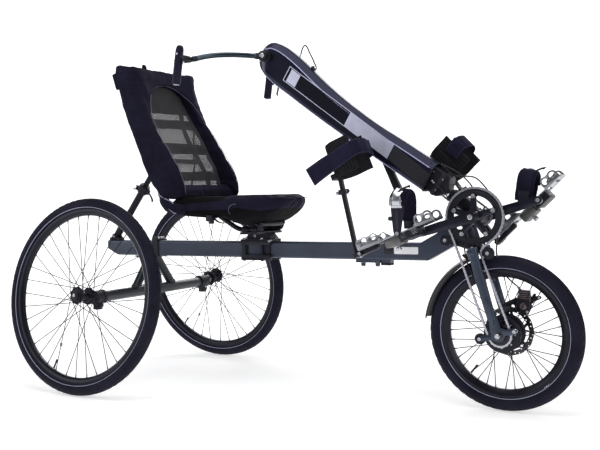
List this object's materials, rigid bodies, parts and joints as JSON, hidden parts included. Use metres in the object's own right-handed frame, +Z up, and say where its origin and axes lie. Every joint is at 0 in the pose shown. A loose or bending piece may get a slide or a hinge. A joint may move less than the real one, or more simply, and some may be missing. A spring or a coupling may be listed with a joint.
{
  "type": "recumbent trike",
  "caption": "Three-wheeled recumbent with cambered rear wheels, mesh seat, hand cranks on a covered mast, foot cranks with footplates and calf rests, and a steered driven front wheel.",
  "frame": {"origin": "on the ground under the middle of the overall length, on the centre plane", "axes": "+X forward along the main tube, +Y to the rider's left, +Z up"},
  "size_m": [2.0199, 0.9656, 1.256],
  "materials": {
    "frame_paint": "metallic blue-grey gloss enamel",
    "black_metal": "satin black powder coat",
    "gloss_black": "glossy blue-black moulding",
    "black_plastic": "fine-grained black moulding",
    "alloy": "bead-blasted alloy",
    "steel": "bright plated steel",
    "chain": "oiled plated chain",
    "grip_rubber": "matte grip rubber",
    "tyre": "matte tyre rubber",
    "fabric": "woven blue-black nylon"
  },
  "bodies": {
    "frame": {"main_frame": "frame_paint", "rear_axle_beam": "frame_paint", "axle_end_brackets": "black_metal", "rear_stub_axles": "steel", "tube_collar": "black_metal", "seat_mount": "black_metal", "seat_frame": "black_metal", "seat_back": "fabric", "seat_cushion": "fabric", "seat_strut": "black_metal", "frame_bracket": "alloy"},
    "front_end": {"front_fork": "frame_paint", "front_axle": "steel", "steering_stem": "black_metal", "mast_column": "black_metal", "mast_cover": "gloss_black", "mast_strut": "black_metal", "drive_chain": "chain", "timing_chain": "chain", "chain_guide": "black_metal", "guide_rollers": "black_plastic", "chain_tensioner": "steel", "mudguard": "black_plastic", "brake_caliper": "black_metal", "control_cables": "black_plastic"},
    "front_wheel": {"front_tyre": "tyre", "front_rim": "black_metal", "front_hub": "black_metal", "front_spokes": "black_metal", "brake_disc": "steel", "front_sprocket": "steel"},
    "foot_cranks": {"chainring": "black_metal", "timing_ring": "steel", "crank_spindle": "steel", "foot_crank_right": "black_metal", "foot_crank_left": "black_metal"},
    "hand_cranks": {"hand_crank_axle": "steel", "hand_crank_right": "alloy", "hand_crank_left": "alloy"},
    "grip_right": {"hand_grip_right": "grip_rubber"},
    "grip_left": {"hand_grip_left": "grip_rubber", "brake_lever": "alloy"},
    "rear_wheel_right": {"rear_tyre_right": "tyre", "rear_rim_right": "black_metal", "rear_hub_right": "black_metal", "rear_spokes_right": "black_metal"},
    "foot_support_right": {"footplate_right": "alloy", "ankle_strap_right": "fabric", "calf_post_right": "black_metal", "calf_shell_right": "fabric"},
    "rear_wheel_left": {"rear_tyre_left": "tyre", "rear_rim_left": "black_metal", "rear_hub_left": "black_metal", "rear_spokes_left": "black_metal"},
    "foot_support_left": {"footplate_left": "alloy", "ankle_strap_left": "fabric", "calf_post_left": "black_metal", "calf_shell_left": "fabric"}
  },
  "joints": [
    {"name": "steering", "type": "hinge", "parent": "frame", "child": "front_end", "pos_m": [0.681, 0, 0.502], "axis": [-0.3024, 0, 0.9532], "range_deg": [-14, 14]},
    {"name": "front_wheel_spin", "type": "hinge", "parent": "front_end", "child": "front_wheel", "pos_m": [0.763, 0, 0.247], "axis": [0, 1, 0], "continuous": true},
    {"name": "foot_crank_spin", "type": "hinge", "parent": "front_end", "child": "foot_cranks", "pos_m": [0.687, 0, 0.617], "axis": [0, 1, 0], "continuous": true},
    {"name": "hand_crank_spin", "type": "hinge", "parent": "front_end", "child": "hand_cranks", "pos_m": [-0.076, 0, 1.2], "axis": [0, 1, 0], "continuous": true},
    {"name": "rear_wheel_right_spin", "type": "hinge", "parent": "frame", "child": "rear_wheel_right", "pos_m": [-0.654, -0.409, 0.35217], "axis": [0, 0.9885, -0.1513], "continuous": true},
    {"name": "footplate_right_swing", "type": "hinge", "parent": "foot_cranks", "child": "foot_support_right", "pos_m": [0.52409, -0.158, 0.56843], "axis": [0, 1, 0], "continuous": true},
    {"name": "grip_right_swing", "type": "hinge", "parent": "hand_cranks", "child": "grip_right", "pos_m": [-0.242, -0.301, 1.177], "axis": [0, 1, 0], "continuous": true},
    {"name": "rear_wheel_left_spin", "type": "hinge", "parent": "frame", "child": "rear_wheel_left", "pos_m": [-0.654, 0.409, 0.35217], "axis": [0, 0.9885, 0.1513], "continuous": true},
    {"name": "footplate_left_swing", "type": "hinge", "parent": "foot_cranks", "child": "foot_support_left", "pos_m": [0.84991, 0.158, 0.66557], "axis": [0, 1, 0], "continuous": true},
    {"name": "grip_left_swing", "type": "hinge", "parent": "hand_cranks", "child": "grip_left", "pos_m": [-0.242, 0.301, 1.177], "axis": [0, 1, 0], "continuous": true}
  ],
  "couplings": [
    {"joint": "hand_crank_spin", "follows": "foot_crank_spin", "ratio": 1},
    {"joint": "footplate_right_swing", "follows": "foot_crank_spin", "ratio": -1},
    {"joint": "grip_right_swing", "follows": "foot_crank_spin", "ratio": -1},
    {"joint": "footplate_left_swing", "follows": "foot_crank_spin", "ratio": -1},
    {"joint": "grip_left_swing", "follows": "foot_crank_spin", "ratio": -1}
  ]
}
